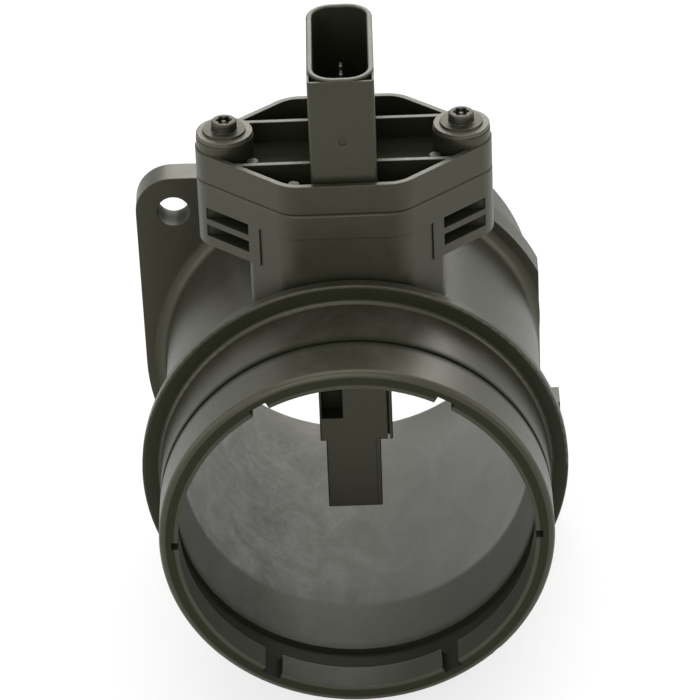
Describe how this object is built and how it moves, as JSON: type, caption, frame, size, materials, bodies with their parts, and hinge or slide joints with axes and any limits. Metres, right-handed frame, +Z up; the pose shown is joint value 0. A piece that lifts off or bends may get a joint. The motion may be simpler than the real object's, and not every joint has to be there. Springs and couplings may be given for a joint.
{
  "type": "mass airflow sensor",
  "caption": "Round moulded duct with a hose spigot, a bolting flange with ears and a plug-in sensor on its neck, with an upright connector, for metering an engine's intake air.",
  "frame": {"origin": "on the duct axis, in the flange face that bolts to the filter box", "axes": "+Y along the duct axis, towards the filter box; +Z up along the neck, sensor and connector; +X to the right as seen from the hose side"},
  "size_m": [0.0988, 0.111, 0.1478],
  "materials": {
    "housing_plastic": "fine satin moulding",
    "module_plastic": "satin moulding",
    "screw_steel": "dark plated",
    "seal_rubber": "matt",
    "carrier_metal": "rolled sheet",
    "board_ceramic": "matt fired",
    "chip_silicon": "polished",
    "chip_package": "moulded",
    "capacitor_block": "fired",
    "contact_tin": "tinned",
    "bead_glaze": "glazed"
  },
  "bodies": {
    "root": {"flow_tube": "housing_plastic", "sensor_body": "module_plastic", "electronics_cover": "module_plastic", "channel_cover": "module_plastic", "retaining_screws": "screw_steel", "module_seal": "seal_rubber", "spigot_seal": "seal_rubber", "carrier_plate": "carrier_metal", "hybrid_board": "board_ceramic", "sensing_chip": "chip_silicon", "signal_chip": "chip_package", "capacitor_1": "capacitor_block", "capacitor_2": "capacitor_block", "capacitor_3": "capacitor_block", "terminal_1": "contact_tin", "terminal_2": "contact_tin", "terminal_3": "contact_tin", "terminal_4": "contact_tin", "terminal_5": "contact_tin", "air_temperature_bead": "bead_glaze"}
  },
  "joints": []
}
